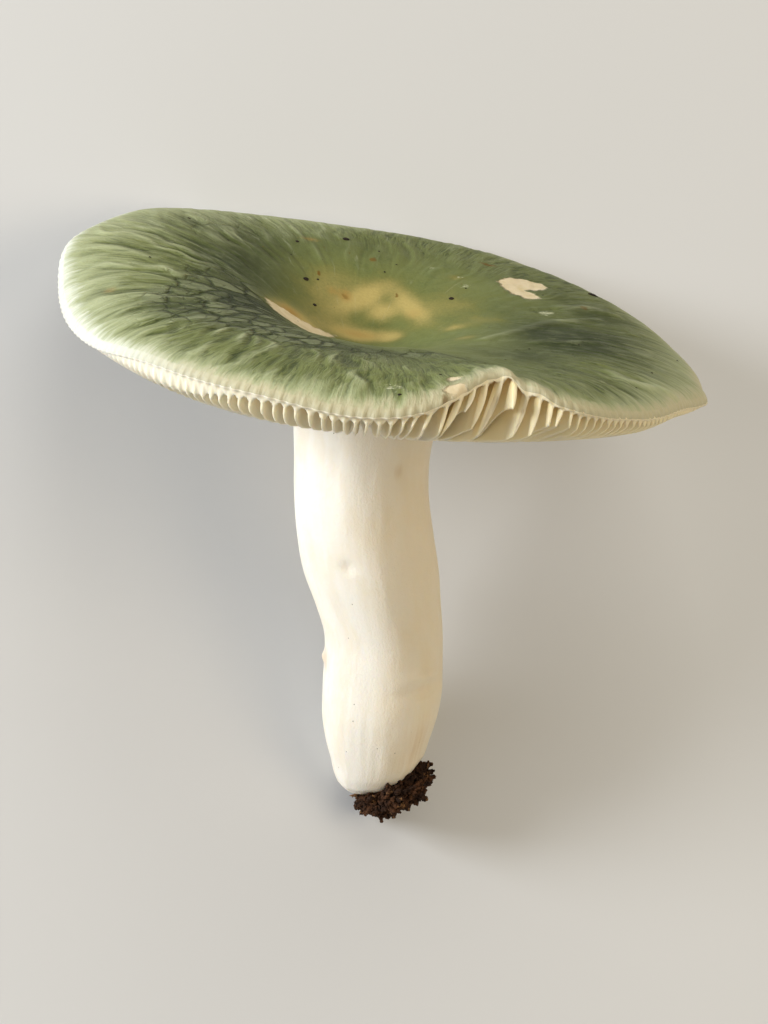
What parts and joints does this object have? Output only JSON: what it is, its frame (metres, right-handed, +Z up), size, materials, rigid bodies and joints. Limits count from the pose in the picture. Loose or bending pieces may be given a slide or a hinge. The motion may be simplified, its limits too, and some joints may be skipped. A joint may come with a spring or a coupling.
{
  "type": "green-cracking russula mushroom",
  "caption": "Picked wild mushroom lying on its side: broad shallow-bowled cap, crowded gills, stout curved stem and a crumb of soil at the foot.",
  "frame": {"origin": "on the table plane, under the middle of the lying mushroom's bounding box", "axes": "+Z up from the table the mushroom lies on; +Y from the stem's foot towards the cap; +X to the right of someone who looks down on it with the foot nearest"},
  "size_m": [0.0848, 0.0834, 0.0706],
  "materials": {
    "mushroom_flesh": "dry matt flesh: grey-green cracked cap skin, cream gills and white stem",
    "soil": "dark brown crumbly woodland soil"
  },
  "bodies": {
    "root": {"mushroom": "mushroom_flesh", "soil": "soil"}
  },
  "joints": []
}
